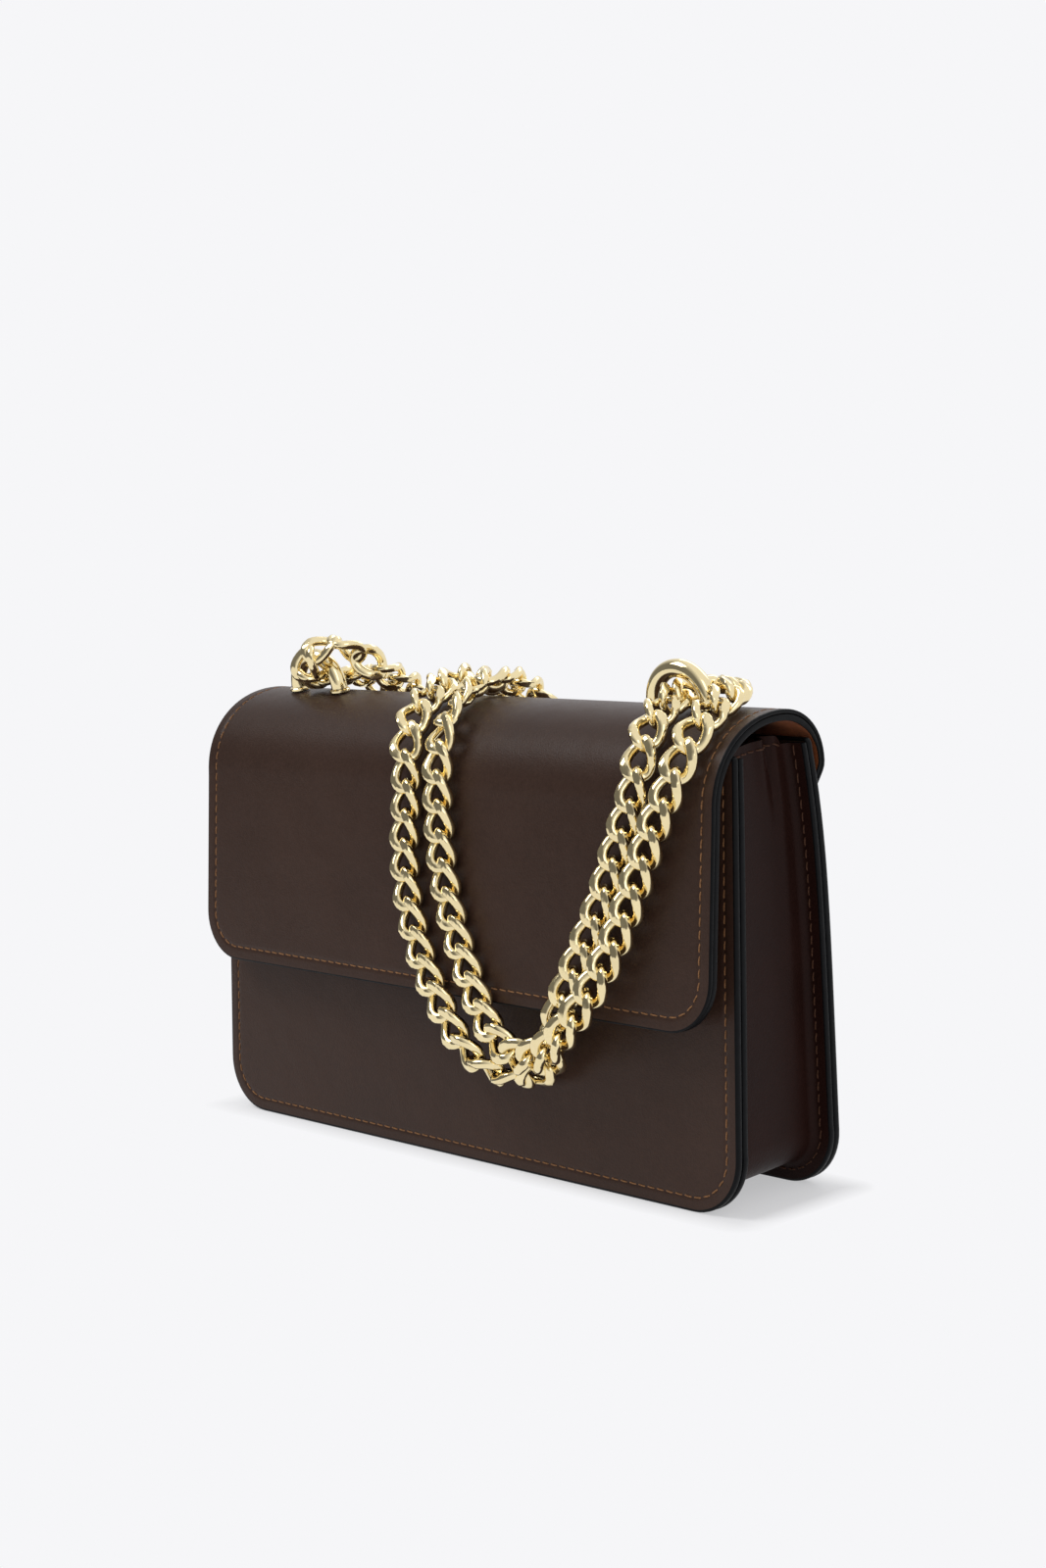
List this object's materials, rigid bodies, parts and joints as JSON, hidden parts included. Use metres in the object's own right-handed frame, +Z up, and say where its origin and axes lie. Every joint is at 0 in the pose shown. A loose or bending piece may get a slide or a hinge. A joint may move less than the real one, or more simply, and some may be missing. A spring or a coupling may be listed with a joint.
{
  "type": "leather crossbody bag",
  "caption": "Box-shaped leather shoulder bag with a U-shaped gusset, a magnetic front flap, metal arches on the crest and a long doubled curb chain draped through them.",
  "frame": {"origin": "middle of the footprint, on the surface that the bag stands on", "axes": "+X along the bag, to the right when seen from the front; +Y from the flap's face to the back; +Z up"},
  "size_m": [0.2326, 0.075, 0.1633],
  "materials": {
    "leather": "smooth dark brown calf leather with a soft sheen",
    "gusset_leather": "darker reddish brown leather",
    "suede": "orange-brown suede",
    "board": "fibre board",
    "gold": "polished pale gold plating",
    "steel": "plain steel"
  },
  "bodies": {
    "body": {"front_panel": "leather", "back_panel": "leather", "gusset": "gusset_leather", "front_lining": "suede", "back_lining": "suede", "gusset_lining": "suede", "base_board": "board", "flap_strip": "leather", "snap_socket": "gold", "snap_socket_washer": "steel"},
    "flap": {"flap_leather": "leather", "flap_lining": "suede", "left_arch": "gold", "left_arch_outer_collar": "gold", "left_arch_outer_washer": "steel", "left_arch_outer_screw": "steel", "left_arch_inner_collar": "gold", "left_arch_inner_washer": "steel", "left_arch_inner_screw": "steel", "right_arch": "gold", "right_arch_outer_collar": "gold", "right_arch_outer_washer": "steel", "right_arch_outer_screw": "steel", "right_arch_inner_collar": "gold", "right_arch_inner_washer": "steel", "right_arch_inner_screw": "steel", "snap_stud": "gold", "snap_stud_washer": "steel", "chain_top_outer": "gold", "chain_top_inner": "gold", "chain_right_turn": "gold", "chain_left_turn": "gold"},
    "front_loops": {"chain_front_outer": "gold", "chain_front_inner": "gold"},
    "rear_loops": {"chain_rear_outer": "gold", "chain_rear_inner": "gold"}
  },
  "joints": [
    {"name": "flap_hinge", "type": "hinge", "parent": "body", "child": "flap", "pos_m": [0, 0.02729, 0.127], "axis": [-1, 0, 0], "range_deg": [0, 100]},
    {"name": "front_swing", "type": "hinge", "parent": "flap", "child": "front_loops", "pos_m": [0, -0.00641, 0.1474], "axis": [-1, 0, 0], "range_deg": [0, 90]},
    {"name": "rear_swing", "type": "hinge", "parent": "flap", "child": "rear_loops", "pos_m": [0, 0.0186, 0.1482], "axis": [1, 0, 0], "range_deg": [0, 100]}
  ],
  "couplings": [
    {"joint": "rear_swing", "follows": "flap_hinge", "ratio": 1}
  ]
}
